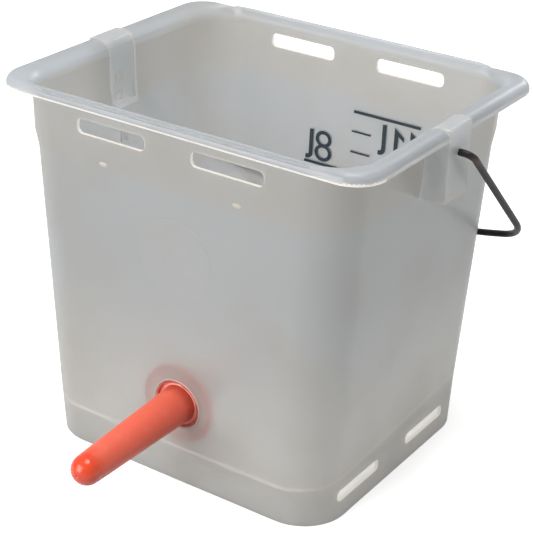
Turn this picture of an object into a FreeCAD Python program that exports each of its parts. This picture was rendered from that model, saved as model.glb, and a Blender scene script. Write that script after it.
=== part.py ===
"""Calf feeding bucket: a moulded tub with a wire bail, a rubber teat and a ball valve behind it.

The frame is +Z up, with X along the two long walls and the teat's wall facing -Y.
The origin is the centre of the foot, on the ground.
"""
import FreeCAD
import Part
import Sketcher
import math
import os

OUTPUT_FOLDER = "parts"

# Driving dimensions in millimetres. Half lengths are along X, half depths along Y.
DIMENSIONS = {
    # The tub's outer wall, level by level.
    "foot_half_length": 126.3, "foot_half_depth": 111.0,
    "floor_height": 36.0, "floor_half_length": 126.0, "floor_half_depth": 115.1,
    "shoulder_height": 238.4, "shoulder_half_length": 137.3, "shoulder_half_depth": 120.3,
    "collar_height": 251.9, "collar_half_length": 138.8, "collar_half_depth": 122.5,
    "rim_height": 290.0, "rim_half_length": 139.8, "rim_half_depth": 123.1,
    "tub_corner": 36.0, "wall": 2.6,
    # The floor falls towards the teat.
    "floor_middle_height": 39.4, "floor_tilt": 3.46,
    # The rolled lip round the rim, wide at the two ends.
    "lip_half_length": 157.0, "lip_half_depth": 124.2, "lip_corner": 24.0,
    "lip_drop": 8.2, "lip_roll": 7.0, "flare": 11.0, "flare_share_depth": 0.08,
    # A hollow boss at each end carries the bail.
    "boss_half_width": 15.5, "boss_bottom": 235.5, "boss_top_round": 2.5,
    "boss_back": 140.6, "groove_half_width": 13.6, "groove_face": 138.2,
    # Hanging slots below the rim, and drain slots in the foot.
    "rim_slot_start": 19.6, "rim_slot_end": 79.0, "rim_slot_height": 269.4,
    "rim_slot_half_width": 5.65, "rim_slot_corner": 4.2,
    "foot_slot_offset": 48.7, "foot_slot_shift": 6.3, "foot_slot_half_length": 28.2,
    "foot_slot_height": 19.3, "foot_slot_half_width": 4.6, "foot_slot_corner": 3.4,
    # The raised round mark on the teat's wall.
    "mark_radius": 30.0, "mark_height": 187.7, "mark_rise": 0.4,
    # The bail: one bent round wire.
    "pivot_height": 270.0, "wire_radius": 2.6, "wire_hole_radius": 2.7, "wire_end": 146.0,
    "arm_offset": 167.3, "arm_bend": 7.0, "hand_corner": 38.0, "hand_bow": 301.0,
    "bail_reach": 188.0, "hang_angle": 45.8,
    # The teat, along its own axis. Distances run outwards from the wall's outer face.
    "teat_offset": 4.5, "teat_height": 69.2, "teat_hole_radius": 19.5,
    "neck_radius": 19.3, "neck_recess": 1.2, "shank_radius": 14.3,
    "tip_radius": 11.4, "tip_distance": 101.5, "milk_hole_radius": 1.2,
    "teat_bore": 9.6, "bore_straight": 14.0, "tip_bore": 7.8,
    "flange_radius": 31.0, "flange_seal_radius": 26.0, "flange_thickness": 4.2,
    "seal_step": 0.7, "assembly_gap": 0.1,
    # The valve, on the same axis.
    "nose_radius": 9.5, "nose_bore": 6.5, "nose_length": 12.0,
    "valve_flange_radius": 24.0, "valve_flange_thickness": 2.5,
    "chamber_radius": 13.5, "chamber_bore": 10.5, "chamber_length": 21.0,
    "rib_length": 3.0, "rib_thickness": 1.6, "rib_reach": 5.0, "rib_count": 4,
    "cap_radius": 16.0, "cap_overlap": 6.0, "cap_plate": 3.0, "inlet_radius": 6.0,
    "seal_ring_radius": 12.0, "seal_wire_radius": 0.7, "ball_radius": 8.5, "ball_gap": 0.05,
}

doc = FreeCAD.newDocument("calf_bucket")
sizes = doc.addObject("Spreadsheet::Sheet", "Sizes")
for row, (alias, number) in enumerate(DIMENSIONS.items(), start=1):
    sizes.set(f"A{row}", alias)
    sizes.set(f"B{row}", str(number))
    sizes.setAlias(f"B{row}", alias)
doc.recompute()


def sheet(formula):
    """Turn a formula of plain dimension names into one that reads the sheet."""
    words = []
    for word in formula.replace("(", " ( ").replace(")", " ) ").split():
        words.append(f"Sizes.{word}" if word in DIMENSIONS else word)
    return " ".join(words).replace("atan (", "atan(").replace("sqrt (", "sqrt(")


def value(formula):
    """Return the number that a formula gives now."""
    return float(sizes.evalExpression(sheet(formula)))


WALL_RISE = "( shoulder_height - floor_height )"
WALL_LEAN = f"( ( shoulder_half_depth - floor_half_depth ) / {WALL_RISE} )"
# The angle between the teat's wall and the vertical, in degrees.
WALL_ANGLE = f"( atan ( {WALL_LEAN} ) )"


def front_face(height):
    """Formula for how far the teat's wall stands out from the centre at a height."""
    return f"( floor_half_depth + ( {height} - floor_height ) * {WALL_LEAN} )"


# ---- sketches -------------------------------------------------------------------------------

def origin_plane(body, role):
    """Return one of a body's own origin planes."""
    return next(item for item in body.Origin.OriginFeatures if item.Role == role)


def new_body(label):
    """Start a sub-part."""
    body = doc.addObject("PartDesign::Body", label)
    body.Label = label
    return body


def new_sketch(body, name, role="XY_Plane", offset=("0", "0", "0"), tilt="0"):
    """Add a sketch on an origin plane, moved in the plane's own axes and tilted about its x."""
    sketch = body.newObject("Sketcher::SketchObject", name)
    sketch.AttachmentSupport = [(origin_plane(body, role), "")]
    sketch.MapMode = "FlatFace"
    sketch.AttachmentOffset = FreeCAD.Placement(
        FreeCAD.Vector(0, 0, 0), FreeCAD.Rotation(FreeCAD.Vector(1, 0, 0), 1))
    for axis, formula in zip("xyz", offset):
        sketch.setExpression(f"AttachmentOffset.Base.{axis}", sheet(formula))
    sketch.setExpression("AttachmentOffset.Rotation.Angle", sheet(tilt))
    return sketch


def name_constraint(sketch, constraint, name, formula):
    """Add a dimension and bind it to the sheet."""
    index = sketch.addConstraint(constraint)
    sketch.renameConstraint(index, name)
    sketch.setExpression(f"Constraints.{name}", sheet(formula))


def locate(sketch, geometry, end, name, x, y):
    """Fix one point of a sketch at a place measured from the sketch's origin."""
    across = Sketcher.Constraint("DistanceX", -1, 1, geometry, end, value(x))
    name_constraint(sketch, across, f"{name}_x", x)
    up = Sketcher.Constraint("DistanceY", -1, 1, geometry, end, value(y))
    name_constraint(sketch, up, f"{name}_y", y)


def arc_between(start, end, radius, bulge):
    """Return the arc from start to end whose bulge lies to the right (1) or left (-1)."""
    chord = end - start
    middle = (start + end) * 0.5
    height = math.sqrt(max(radius ** 2 - (chord.Length / 2) ** 2, 0))
    side = FreeCAD.Vector(-chord.y, chord.x, 0).normalize()
    centre = middle + side * height * bulge
    through = centre + (middle - centre).normalize() * radius
    return Part.Arc(start, through, end)


def end_at(sketch, index, spot):
    """Return which end of a curve, 1 or 2, lies at a spot."""
    distances = [(sketch.getPoint(index, end) - spot).Length for end in (1, 2)]
    return 1 if distances[0] < distances[1] else 2


def closed_outline(sketch, points):
    """Draw a closed outline through points (x, y) or (x, y, radius, bulge) where an arc starts."""
    spots = [FreeCAD.Vector(value(point[0]), value(point[1]), 0) for point in points]
    for index, point in enumerate(points):
        start, end = spots[index], spots[(index + 1) % len(spots)]
        if len(point) == 2:
            sketch.addGeometry(Part.LineSegment(start, end))
        else:
            sketch.addGeometry(arc_between(start, end, value(point[2]), point[3]))
    for index, point in enumerate(points):
        following = (index + 1) % len(points)
        start = end_at(sketch, index, spots[index])
        end = end_at(sketch, index, spots[following])
        next_start = end_at(sketch, following, spots[following])
        sketch.addConstraint(Sketcher.Constraint("Coincident", index, end, following, next_start))
        locate(sketch, index, start, f"point{index}", point[0], point[1])
        if len(point) > 2:
            radius = Sketcher.Constraint("Radius", index, value(point[2]))
            name_constraint(sketch, radius, f"radius{index}", point[2])


def rounded_rectangle(sketch, low, high, radius):
    """Draw a rectangle with rounded corners between two (x, y) corners."""
    (left, bottom), (right, top) = low, high
    points = []
    corners = [(left, bottom, 1, 1), (right, bottom, -1, 1), (right, top, -1, -1), (left, top, 1, -1)]
    for number, (x, y, inward_x, inward_y) in enumerate(corners):
        along_x = f"( {x} + {inward_x} * {radius} )"
        along_y = f"( {y} + {inward_y} * {radius} )"
        entry = (x, along_y) if number % 2 == 0 else (along_x, y)
        leave = (along_x, y) if number % 2 == 0 else (x, along_y)
        points += [(entry[0], entry[1], radius, 1), leave]
    closed_outline(sketch, points)


def centred_rectangle(sketch, half_x, half_y, radius):
    """Draw a rounded rectangle about the sketch's origin."""
    rounded_rectangle(sketch, (f"( - {half_x} )", f"( - {half_y} )"), (half_x, half_y), radius)


def circle(sketch, radius, x="0", y="0"):
    """Draw a circle."""
    centre = FreeCAD.Vector(value(x), value(y), 0)
    index = sketch.addGeometry(Part.Circle(centre, FreeCAD.Vector(0, 0, 1), value(radius)))
    name_constraint(
        sketch, Sketcher.Constraint("Radius", index, value(radius)), f"radius{index}", radius)
    locate(sketch, index, 3, f"centre{index}", x, y)


# ---- features -------------------------------------------------------------------------------

def extrude(kind, sketch, name, length=None, reverse=False, both_ways=False):
    """Pad or pocket a sketch. A pocket cuts against the sketch's normal unless it is reversed."""
    body = sketch.getParentGeoFeatureGroup()
    feature = body.newObject(f"PartDesign::{kind}", name)
    feature.Profile = sketch
    feature.Reversed = reverse
    feature.SideType = "Symmetric" if both_ways else "One side"
    feature.setExpression("Length", sheet(length))
    doc.recompute()
    return feature


def round_edges(body, base, name, radius, test):
    """Fillet the edges whose two ends and middle all pass a test."""
    names = []
    for number, edge in enumerate(base.Shape.Edges, start=1):
        spots = [vertex.Point for vertex in edge.Vertexes]
        spots.append(edge.valueAt((edge.FirstParameter + edge.LastParameter) / 2))
        if all(test(spot) for spot in spots):
            names.append(f"Edge{number}")
    fillet = body.newObject("PartDesign::Fillet", name)
    fillet.Base = (base, names)
    fillet.setExpression("Radius", sheet(radius))
    doc.recompute()
    return fillet


def revolve(body, points, name="turned_profile"):
    """Turn a closed (radius, height) outline about the body's Z axis."""
    sketch = new_sketch(body, name, "XZ_Plane")
    closed_outline(sketch, points)
    feature = body.newObject("PartDesign::Revolution", f"{name}_revolved")
    feature.Profile = sketch
    feature.ReferenceAxis = (sketch, ["V_Axis"])
    feature.Angle = 360
    doc.recompute()
    return feature


def at_height(height):
    """Return a test for points at one height."""
    level = value(height)
    return lambda spot: abs(spot.z - level) < 0.01


# ---- the tub --------------------------------------------------------------------------------

TUB_LEVELS = [
    ("foot", "0", "foot_half_length", "foot_half_depth"),
    ("floor_line", "floor_height", "floor_half_length", "floor_half_depth"),
    ("shoulder", "shoulder_height", "shoulder_half_length", "shoulder_half_depth"),
    ("collar", "collar_height", "collar_half_length", "collar_half_depth"),
    ("rim", "rim_height", "rim_half_length", "rim_half_depth"),
]
FLARE_STEPS = 6


def loft(body, kind, name, sketches, ruled):
    """Join level sketches, lowest first, into one loft."""
    feature = body.newObject(f"PartDesign::{kind}Loft", name)
    feature.Profile = sketches[0]
    feature.Sections = sketches[1:]
    feature.Ruled = ruled
    doc.recompute()
    return feature


def add_lip(tub):
    """The rim's plate with its rolled edge, hollow underneath."""
    plate_sketch = new_sketch(tub, "lip_outline", offset=("0", "0", "rim_height"))
    centred_rectangle(plate_sketch, "lip_half_length", "lip_half_depth", "lip_corner")
    plate = extrude("Pad", plate_sketch, "lip_plate", "lip_drop", reverse=True)
    rolled = round_edges(tub, plate, "lip_roll_over", "lip_roll", at_height("rim_height"))
    hollow_sketch = new_sketch(tub, "lip_hollow", offset=("0", "0", "( rim_height - lip_drop )"))
    centred_rectangle(hollow_sketch, "( lip_half_length - wall )", "( lip_half_depth - wall )",
                      "( lip_corner - wall )")
    hollow = extrude("Pocket", hollow_sketch, "lip_hollowed", "( lip_drop - wall )", reverse=True)
    assert hollow.Shape.Volume < rolled.Shape.Volume
    round_edges(tub, hollow, "lip_hollow_round", "( lip_roll - wall )",
                at_height("( rim_height - wall )"))


def add_bosses(tub):
    """A box at each end, flush with the lip and open below, for the ends of the wire."""
    for side, name in ((1, "right"), (-1, "left")):
        sketch = new_sketch(tub, f"{name}_boss_outline", offset=("0", "0", "boss_bottom"))
        inner, outer = f"( {side} * ( boss_back - wall ) )", f"( {side} * lip_half_length )"
        closed_outline(sketch, box_corners(inner, outer, "boss_half_width", side))
        boss = extrude("Pad", sketch, f"{name}_boss", "( rim_height - boss_bottom )")
        edge_x = side * value("lip_half_length")
        top = value("rim_height")
        half_width = value("boss_half_width") + 0.01
        round_edges(tub, boss, f"{name}_boss_top", "boss_top_round",
                    lambda spot: (abs(spot.x - edge_x) < 0.01 and abs(spot.z - top) < 0.01
                                  and abs(spot.y) < half_width))


def hollow_bosses(tub):
    """Empty each boss from below, and cut the shallow groove in the wall in front of it."""
    for side, name in ((1, "right"), (-1, "left")):
        sketch = new_sketch(tub, f"{name}_boss_hollow", offset=("0", "0", "boss_bottom"))
        inner, outer = f"( {side} * boss_back )", f"( {side} * ( lip_half_length - wall ) )"
        closed_outline(sketch, box_corners(inner, outer, "( boss_half_width - wall )", side))
        extrude("Pocket", sketch, f"{name}_boss_hollowed", "( rim_height - boss_bottom - wall )",
                reverse=True)
        groove = new_sketch(tub, f"{name}_groove", offset=("0", "0", "rim_height"))
        centre = f"( {side} * foot_half_length )"
        face = f"( {side} * groove_face )"
        closed_outline(groove, box_corners(centre, face, "groove_half_width", side))
        extrude("Pocket", groove, f"{name}_groove_cut", "( rim_height - boss_bottom - wall )")


def box_corners(near, far, half_width, side):
    """The corners of a box that spans from near to far in X, anticlockwise on either side."""
    low_y, high_y = f"( - {half_width} )", half_width
    corners = [(near, low_y), (far, low_y), (far, high_y), (near, high_y)]
    return corners if side > 0 else corners[::-1]


def add_floor(tub):
    """The tub's floor, a slab between the walls that falls towards the teat."""
    sketch = new_sketch(tub, "floor_outline", offset=("0", "0", "floor_middle_height"),
                        tilt="floor_tilt")
    centred_rectangle(sketch, "( floor_half_length - wall / 2 )", "( floor_half_depth - wall / 2 )",
                      "( tub_corner - wall / 2 )")
    extrude("Pad", sketch, "floor_slab", "wall", both_ways=True)


def cut_slots(tub):
    """Hanging slots through both long walls, and drain slots through both ends of the foot."""
    low = "( rim_slot_height - rim_slot_half_width )"
    high = "( rim_slot_height + rim_slot_half_width )"
    for side, name in ((1, "right"), (-1, "left")):
        spans = sorted((f"( {side} * rim_slot_start )", f"( {side} * rim_slot_end )"), key=value)
        sketch = new_sketch(tub, f"rim_slot_{name}", "XZ_Plane")
        rounded_rectangle(sketch, (spans[0], low), (spans[1], high), "rim_slot_corner")
        extrude("Pocket", sketch, f"rim_slots_{name}", "( 3 * rim_half_depth )", both_ways=True)
    low = "( foot_slot_height - foot_slot_half_width )"
    high = "( foot_slot_height + foot_slot_half_width )"
    for side, name in ((1, "back"), (-1, "front")):
        centre = f"( {side} * foot_slot_offset - foot_slot_shift )"
        sketch = new_sketch(tub, f"foot_slot_{name}", "YZ_Plane")
        rounded_rectangle(sketch, (f"( {centre} - foot_slot_half_length )", low),
                          (f"( {centre} + foot_slot_half_length )", high), "foot_slot_corner")
        extrude("Pocket", sketch, f"foot_slots_{name}", "( 3 * foot_half_length )", both_ways=True)


def cut_holes(tub):
    """The teat's hole, square to its leaning wall, and the wire's hole in each boss."""
    teat_hole = new_sketch(tub, "teat_hole", "XZ_Plane", tilt=WALL_ANGLE,
                           offset=("teat_offset", "teat_height", front_face("teat_height")))
    circle(teat_hole, "teat_hole_radius")
    extrude("Pocket", teat_hole, "teat_hole_cut", "( 3 * wall )")
    for side, name in ((1, "right"), (-1, "left")):
        wire_hole = new_sketch(tub, f"{name}_wire_hole", "YZ_Plane",
                               offset=("0", "pivot_height", f"( {side} * lip_half_length )"))
        circle(wire_hole, "wire_hole_radius")
        extrude("Pocket", wire_hole, f"{name}_wire_hole_cut", "( 2 * wall )", both_ways=True)


def add_mark(tub):
    """A faint raised disc on the teat's wall."""
    sketch = new_sketch(tub, "mark_outline", "XZ_Plane", tilt=WALL_ANGLE,
                        offset=("teat_offset", "mark_height", front_face("mark_height")))
    circle(sketch, "mark_radius")
    extrude("Pad", sketch, "raised_mark", "mark_rise")


def flare_sections(tub, name, outside, inside):
    """Sections of the quarter round that opens the wall into the lip, lowest first.

    The round's radius is the flare less the thickness outside it. Its foot is the wall's outer
    face less the thickness inside it.
    """
    sections = []
    for step in range(FLARE_STEPS + 1):
        turn = math.radians(90 * step / FLARE_STEPS)
        radius = f"( flare - {outside} )"
        rise = f"( rim_height - flare + {radius} * {math.sin(turn):.6f} )"
        reach = f"( {radius} * {1 - math.cos(turn):.6f} )"
        sketch = new_sketch(tub, f"{name}_{step}", offset=("0", "0", rise))
        centred_rectangle(sketch, f"( rim_half_length - {inside} + {reach} )",
                          f"( rim_half_depth - {inside} + flare_share_depth * {reach} )",
                          f"( tub_corner - {inside} )")
        sections.append(sketch)
    return sections


def make_tub():
    """The moulded tub."""
    tub = new_body("bucket_shell")
    add_lip(tub)
    outer = []
    for name, height, half_length, half_depth in TUB_LEVELS:
        sketch = new_sketch(tub, f"outer_{name}", offset=("0", "0", height))
        centred_rectangle(sketch, half_length, half_depth, "tub_corner")
        outer.append(sketch)
    loft(tub, "Additive", "outer_wall", outer, ruled=True)
    loft(tub, "Additive", "outer_flare", flare_sections(tub, "outer_flare", "wall", "0"),
         ruled=True)
    add_bosses(tub)
    inner = []
    for name, height, half_length, half_depth in TUB_LEVELS:
        sketch = new_sketch(tub, f"inner_{name}", offset=("0", "0", height))
        centred_rectangle(sketch, f"( {half_length} - wall )", f"( {half_depth} - wall )",
                          "( tub_corner - wall )")
        inner.append(sketch)
    loft(tub, "Subtractive", "inner_wall", inner, ruled=True)
    loft(tub, "Subtractive", "inner_flare", flare_sections(tub, "inner_flare", "0", "wall"),
         ruled=True)
    hollow_bosses(tub)
    add_floor(tub)
    cut_slots(tub)
    cut_holes(tub)
    add_mark(tub)
    return tub


# ---- the bail -------------------------------------------------------------------------------

def make_bail():
    """The wire bail, drawn in its own plane with its hinge axis along X, then swung back."""
    bail = new_body("bail_handle")
    path = new_sketch(bail, "wire_path", "XZ_Plane")
    arm, bend, corner, bow, reach, wire_end = [value(name) for name in (
        "arm_offset", "arm_bend", "hand_corner", "hand_bow", "bail_reach", "wire_end")]
    centre_z = bow - reach
    corner_x = arm - corner
    corner_z = centre_z - math.sqrt((bow - corner) ** 2 - corner_x ** 2)
    touch_x = corner_x * bow / (bow - corner)
    touch_z = centre_z - (centre_z - corner_z) * bow / (bow - corner)

    def spot(x, z):
        return FreeCAD.Vector(x, z, 0)

    def arc(centre, radius, start, end):
        middle = (start + end) * 0.5 - centre
        return Part.Arc(start, centre + middle.normalize() * radius, end)

    pieces = []
    for side in (-1, 1):
        bend_centre = spot(side * (arm - bend), -bend)
        pieces.append([
            Part.LineSegment(spot(side * wire_end, 0), spot(side * (arm - bend), 0)),
            arc(bend_centre, bend, spot(side * (arm - bend), 0), spot(side * arm, -bend)),
            Part.LineSegment(spot(side * arm, -bend), spot(side * arm, corner_z)),
            arc(spot(side * corner_x, corner_z), corner, spot(side * arm, corner_z),
                spot(side * touch_x, touch_z)),
        ])
    bow_arc = arc(spot(0, centre_z), bow, spot(-touch_x, touch_z), spot(touch_x, touch_z))
    curves = pieces[0] + [bow_arc] + pieces[1][::-1]
    path.addGeometry(curves, False)
    join_smoothly(path)
    last = len(curves) - 1
    for number in (0, last):
        path.addConstraint(Sketcher.Constraint("Horizontal", number))
    for number in (2, last - 2):
        path.addConstraint(Sketcher.Constraint("Vertical", number))
    locate(path, 0, 1, "left_end", "( - wire_end )", "0")
    locate(path, last, 1, "right_end", "wire_end", "0")
    for number, sign, name in ((2, "-", "left"), (last - 2, "+", "right")):
        formula = f"( 0 {sign} arm_offset )"
        across = Sketcher.Constraint("DistanceX", -1, 1, number, 1, value(formula))
        name_constraint(path, across, f"{name}_arm", formula)
    for number, radius in ((1, "arm_bend"), (last - 1, "arm_bend"), (3, "hand_corner"),
                           (last - 3, "hand_corner"), (4, "hand_bow")):
        name_constraint(path, Sketcher.Constraint("Radius", number, value(radius)),
                        f"radius{number}", radius)
    locate(path, 4, 3, "bow_centre", "0", "( hand_bow - bail_reach )")

    section = new_sketch(bail, "wire_section", "YZ_Plane", offset=("0", "0", "( - wire_end )"))
    circle(section, "wire_radius")
    wire = bail.newObject("PartDesign::AdditivePipe", "bent_wire")
    wire.Profile = section
    wire.Spine = path
    wire.Transition = "Right corner"
    bail.setExpression("Placement.Base.z", sheet("pivot_height"))
    bail.Placement.Rotation = FreeCAD.Rotation(FreeCAD.Vector(1, 0, 0), 1)
    bail.setExpression("Placement.Rotation.Angle", sheet("hang_angle"))
    return bail


def join_smoothly(sketch):
    """Join each curve of a chain to the next, end to end and tangent."""
    for first in range(len(sketch.Geometry) - 1):
        second = first + 1
        for first_end, second_end in ((1, 1), (1, 2), (2, 1), (2, 2)):
            gap = sketch.getPoint(first, first_end) - sketch.getPoint(second, second_end)
            if gap.Length < 1e-6:
                sketch.addConstraint(
                    Sketcher.Constraint("Tangent", first, first_end, second, second_end))


# ---- the teat and its valve -----------------------------------------------------------------

def place_on_teat_axis(piece):
    """Stand a piece at the teat's hole with its Z axis square to the wall, pointing outwards."""
    piece.setExpression("Placement.Base.x", sheet("teat_offset"))
    piece.setExpression("Placement.Base.y", sheet(f"( - {front_face('teat_height')} )"))
    piece.setExpression("Placement.Base.z", sheet("teat_height"))
    piece.Placement.Rotation = FreeCAD.Rotation(FreeCAD.Vector(1, 0, 0), 1)
    piece.setExpression("Placement.Rotation.Angle", sheet(f"( 90 deg + {WALL_ANGLE} )"))


FLANGE_FRONT = "( - wall - assembly_gap )"
FLANGE_BACK = "( - wall - assembly_gap - flange_thickness )"
VALVE_FRONT = f"( {FLANGE_BACK} - assembly_gap )"
VALVE_BACK = f"( {VALVE_FRONT} - valve_flange_thickness )"
CHAMBER_END = f"( {VALVE_BACK} - chamber_length )"
RING_GAP = "( 2 * seal_wire_radius )"
CAP_INSIDE = f"( {CHAMBER_END} - {RING_GAP} )"
SEAT_DEPTH = "sqrt ( ball_radius * ball_radius - inlet_radius * inlet_radius )"


def tip_height(radius):
    """Formula for where the milk hole meets a round of a given radius at the teat's tip."""
    square = f"( {radius} * {radius} - milk_hole_radius * milk_hole_radius )"
    return f"( tip_distance + sqrt ( {square} ) )"


def make_teat():
    """The rubber teat: flange inside the tub, neck in the hole, tapering shank, round tip."""
    teat = new_body("teat")
    revolve(teat, [
        ("milk_hole_radius", tip_height("tip_bore"), "tip_bore", -1),
        ("tip_bore", "tip_distance"),
        ("teat_bore", "bore_straight"),
        ("teat_bore", FLANGE_BACK),
        ("flange_radius", FLANGE_BACK),
        ("flange_radius", FLANGE_FRONT),
        ("flange_seal_radius", FLANGE_FRONT),
        ("flange_seal_radius", f"( {FLANGE_FRONT} - seal_step )"),
        ("neck_radius", f"( {FLANGE_FRONT} - seal_step )"),
        ("neck_radius", "( - neck_recess )"),
        ("shank_radius", "( - neck_recess )"),
        ("tip_radius", "tip_distance", "tip_radius", 1),
        ("milk_hole_radius", tip_height("tip_radius")),
    ])
    place_on_teat_axis(teat)
    return teat


def make_valve_body():
    """The valve's body: a nose in the teat, a flange on it and a chamber with ribs for the ball."""
    valve = new_body("valve_body")
    revolve(valve, [
        ("nose_bore", "nose_length"),
        ("nose_bore", VALVE_BACK),
        ("chamber_bore", VALVE_BACK),
        ("chamber_bore", CHAMBER_END),
        ("chamber_radius", CHAMBER_END),
        ("chamber_radius", VALVE_BACK),
        ("valve_flange_radius", VALVE_BACK),
        ("valve_flange_radius", VALVE_FRONT),
        ("nose_radius", VALVE_FRONT),
        ("nose_radius", "nose_length"),
    ])
    rib_sketch = new_sketch(valve, "rib_outline", offset=("0", "0", f"( {VALVE_BACK} + wall / 4 )"))
    half = "( rib_thickness / 2 )"
    closed_outline(rib_sketch, box_corners("rib_reach", "( chamber_bore + wall / 4 )", half, 1))
    rib = extrude("Pad", rib_sketch, "rib", "( rib_length + wall / 4 )", reverse=True)
    ring = valve.newObject("PartDesign::PolarPattern", "ribs")
    ring.Originals = [rib]
    ring.Axis = (rib_sketch, ["N_Axis"])
    ring.Angle = 360
    ring.setExpression("Occurrences", sheet("rib_count"))
    valve.Tip = ring
    place_on_teat_axis(valve)
    return valve


def make_valve_seal():
    """The ring that seals the cap against the chamber."""
    seal = doc.addObject("Part::Torus", "valve_seal_ring")
    seal.Label = "valve_seal"
    seal.setExpression("Radius1", sheet("seal_ring_radius"))
    seal.setExpression("Radius2", sheet("( seal_wire_radius - assembly_gap / 2 )"))
    distance = value(f"( {CHAMBER_END} - seal_wire_radius )")
    place_along_teat_axis(seal, distance)
    return seal


def make_valve_ball():
    """The loose ball, seated on the cap's inlet."""
    ball = doc.addObject("Part::Sphere", "valve_ball_sphere")
    ball.Label = "valve_ball"
    ball.setExpression("Radius", sheet("ball_radius"))
    place_along_teat_axis(ball, value(f"( {CAP_INSIDE} + {SEAT_DEPTH} + ball_gap )"))
    return ball


def place_along_teat_axis(piece, distance):
    """Stand a primitive on the teat's axis, at a distance outwards from the wall."""
    lean = math.radians(value(f"( {WALL_ANGLE} / 1 deg )"))
    foot = FreeCAD.Vector(value("teat_offset"), -value(front_face("teat_height")),
                          value("teat_height"))
    outwards = FreeCAD.Vector(0, -math.cos(lean), -math.sin(lean))
    turn = FreeCAD.Rotation(FreeCAD.Vector(1, 0, 0), 90 + math.degrees(lean))
    piece.Placement = FreeCAD.Placement(foot + outwards * distance, turn)


def make_valve_cap():
    """The cap with the inlet, a close fit over the chamber's end."""
    cap = new_body("valve_cap")
    skirt_bore = "( chamber_radius + assembly_gap )"
    revolve(cap, [
        ("inlet_radius", CAP_INSIDE),
        ("inlet_radius", f"( {CAP_INSIDE} - cap_plate )"),
        ("cap_radius", f"( {CAP_INSIDE} - cap_plate )"),
        ("cap_radius", f"( {CHAMBER_END} + cap_overlap )"),
        (skirt_bore, f"( {CHAMBER_END} + cap_overlap )"),
        (skirt_bore, CAP_INSIDE),
    ])
    place_on_teat_axis(cap)
    return cap


pieces = [make_tub(), make_bail(), make_teat(), make_valve_body(), make_valve_seal(),
          make_valve_ball(), make_valve_cap()]
doc.recompute()

for item in doc.Objects:
    if "Invalid" in item.State or "Error" in item.State:
        raise RuntimeError(f"{item.Label} failed: {item.State} {item.getStatusString()}")
for piece in pieces:
    if piece.Shape.isNull() or not piece.Shape.isValid() or len(piece.Shape.Solids) != 1:
        raise RuntimeError(f"{piece.Label} has no single valid solid")

os.makedirs(OUTPUT_FOLDER, exist_ok=True)
for piece in pieces:
    piece.Shape.exportStep(f"{OUTPUT_FOLDER}/{piece.Label}.step")
    print(piece.Label, round(piece.Shape.Volume), "mm3")
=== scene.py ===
"""Calf feeding bucket: a translucent moulded tub with a wire bail, a rubber teat and a ball valve.

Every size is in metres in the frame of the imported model: Z up, X along the long walls, the
teat's wall facing -Y and the origin at the centre of the foot.
"""

import math

import bmesh
import bpy
from bpy.props import (FloatProperty, FloatVectorProperty, IntProperty, PointerProperty)
from mathutils import Matrix, Vector


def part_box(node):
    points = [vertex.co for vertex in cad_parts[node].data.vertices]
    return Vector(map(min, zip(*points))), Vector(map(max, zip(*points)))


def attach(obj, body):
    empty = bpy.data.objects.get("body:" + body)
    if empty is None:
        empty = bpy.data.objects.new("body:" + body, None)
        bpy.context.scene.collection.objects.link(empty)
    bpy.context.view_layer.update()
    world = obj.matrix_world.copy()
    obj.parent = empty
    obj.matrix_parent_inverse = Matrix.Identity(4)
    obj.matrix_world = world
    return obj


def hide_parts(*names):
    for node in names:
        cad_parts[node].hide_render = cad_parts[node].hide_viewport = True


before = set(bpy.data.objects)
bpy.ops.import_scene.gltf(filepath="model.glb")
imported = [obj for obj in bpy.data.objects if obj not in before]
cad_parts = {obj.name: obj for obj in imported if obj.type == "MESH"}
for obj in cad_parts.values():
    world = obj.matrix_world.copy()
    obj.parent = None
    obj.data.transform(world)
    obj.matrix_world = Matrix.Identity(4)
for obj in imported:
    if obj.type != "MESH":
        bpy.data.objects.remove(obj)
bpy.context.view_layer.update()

bl_info = {
    "name": "Calf Feeding Bucket",
    "version": (1, 0, 0),
    "blender": (4, 5, 0),
    "location": "3D View > Sidebar > Bucket",
    "description": "Builds the look of a calf feeding bucket around its packed frame",
    "category": "Object",
}

MM = 0.001
BODY = "bucket"

TUB_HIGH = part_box("bucket_shell")[1]
RIM_HEIGHT = TUB_HIGH.z

# The tub's walls, as they are moulded.
WALL = 2.6 * MM
FLOOR_LINE = Vector((126.0, 115.1, 36.0)) * MM
SHOULDER = Vector((137.3, 120.3, 238.4)) * MM
GROOVE_FACE = 138.2 * MM
LEAN_Y = (SHOULDER.y - FLOOR_LINE.y) / (SHOULDER.z - FLOOR_LINE.z)
LEAN_X = (SHOULDER.x - FLOOR_LINE.x) / (SHOULDER.z - FLOOR_LINE.z)
COLLAR_LEAN = 2.2 / 13.5 - LEAN_Y  # the walls lean 2.2 mm in 13.5 mm above the shoulder
FLOOR_MIDDLE = 39.4 * MM
FLOOR_SLOPE = math.tan(math.radians(3.46))

# Middle height of each row of slots and half the height that they reach, with the inner faces.
SLOT_HEIGHTS = ((19.3 * MM, 4.7 * MM), (269.4 * MM, 5.8 * MM))

# The raised round mark on the teat's wall.
MARK_RADIUS = 30.0 * MM
MARK_CENTRE = (4.5 * MM, -119.0 * MM, 187.7 * MM)

# The litre marks: the height of 8 litres, the step to the next litre, and how much each
# further step shortens.
EIGHT_LITRES = 175.5 * MM
LITRE_STEP = 18.5 * MM
LITRE_CLOSING = 0.37 * MM

# The printed scale on the back wall: the litres that have a long line and a number, the top
# line, and the ends of the lines and the middles of the characters in X.
NUMBERED = (2, 5, 8)
TOP_LITRE = 11
LONG_LINE = (-40.8 * MM, 0.0)
TOP_LINE = (3.2 * MM, 64.2 * MM)
SHORT_LINE = (2.3 * MM, 20.2 * MM)
DIGIT_X, LETTER_X = -23.3 * MM, -35.0 * MM
TOP_ONES_X, TOP_LETTER_X = (43.2 * MM, 57.5 * MM), 32.2 * MM

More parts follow.
